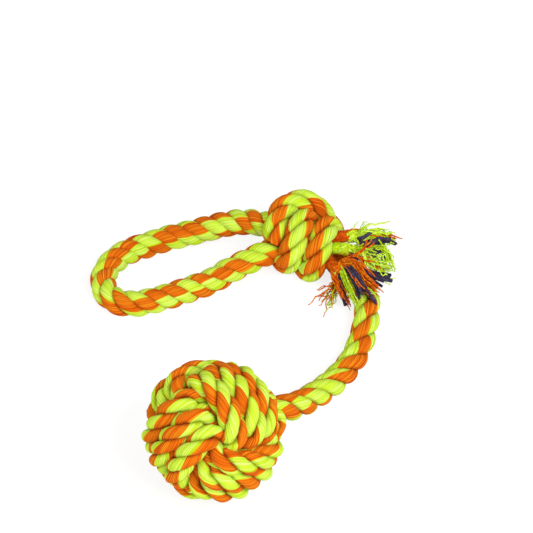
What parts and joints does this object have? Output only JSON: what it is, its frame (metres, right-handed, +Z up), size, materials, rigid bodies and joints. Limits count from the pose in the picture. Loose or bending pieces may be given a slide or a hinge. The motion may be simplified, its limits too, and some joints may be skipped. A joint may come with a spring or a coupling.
{
  "type": "rope dog toy",
  "caption": "Rope tug toy for dogs: a monkey's fist ball on a laid rope lead, knotted to a hand loop, with a frayed strand tail at the knot.",
  "frame": {"origin": "on the floor under the middle of the toy's bounding box, as it lies", "axes": "+Z up; +Y from the ball towards the knot; +X to the right as seen from the ball's side"},
  "size_m": [0.2011, 0.2689, 0.0894],
  "materials": {
    "laid_rope": "soft spun cotton, three strands, each half orange and half lime",
    "core_cotton": "packed cotton",
    "orange_cotton": "loose spun cotton yarn",
    "lime_cotton": "loose spun cotton yarn",
    "navy_cotton": "loose soft core yarn"
  },
  "bodies": {
    "knot": {"knot_coil": "laid_rope", "knot_crossing_turn": "laid_rope", "knot_inner_rope": "laid_rope", "handle_rope_upper_root": "laid_rope", "handle_rope_lower_root": "laid_rope", "lead_rope_knot_end": "laid_rope"},
    "handle": {"handle_rope": "laid_rope"},
    "lead": {"lead_rope_middle": "laid_rope"},
    "ball": {"ball_core": "core_cotton", "ball_winding_first": "laid_rope", "ball_winding_second": "laid_rope", "ball_winding_third": "laid_rope", "lead_rope_ball_end": "laid_rope"},
    "tail_upper": {"tail_strand_upper": "orange_cotton", "tail_upper_orange_yarns": "orange_cotton", "tail_upper_lime_yarns": "lime_cotton", "tail_upper_navy_yarns": "navy_cotton"},
    "tail_side": {"tail_strand_side": "lime_cotton", "tail_side_orange_yarns": "orange_cotton", "tail_side_lime_yarns": "lime_cotton", "tail_side_navy_yarns": "navy_cotton"},
    "tail_front": {"tail_strand_front": "orange_cotton", "tail_front_orange_yarns": "orange_cotton", "tail_front_lime_yarns": "lime_cotton", "tail_front_navy_yarns": "navy_cotton"}
  },
  "joints": [
    {"name": "handle_fold", "type": "hinge", "parent": "knot", "child": "handle", "pos_m": [-0.0096, 0.1052, 0.01425], "axis": [0, 0.9907, 0.1362], "range_deg": [0, 90]},
    {"name": "lead_bend_at_knot", "type": "hinge", "parent": "knot", "child": "lead", "pos_m": [0.0812, 0.0442, 0.0064], "axis": [0, 0, 1], "range_deg": [-15, 45]},
    {"name": "lead_bend_at_ball", "type": "hinge", "parent": "lead", "child": "ball", "pos_m": [0.0549, -0.0243, 0.016], "axis": [0, 0, 1], "range_deg": [-25, 45]},
    {"name": "tail_upper_lift", "type": "hinge", "parent": "knot", "child": "tail_upper", "pos_m": [0.06517, 0.10021, 0.02838], "axis": [0.0995, -0.995, 0], "range_deg": [0, 45]},
    {"name": "tail_side_lift", "type": "hinge", "parent": "knot", "child": "tail_side", "pos_m": [0.06213, 0.09063, 0.0255], "axis": [-0.5263, -0.8503, 0], "range_deg": [0, 45]},
    {"name": "tail_front_lift", "type": "hinge", "parent": "knot", "child": "tail_front", "pos_m": [0.05886, 0.08482, 0.01789], "axis": [-0.7463, -0.6656, 0], "range_deg": [0, 45]}
  ]
}
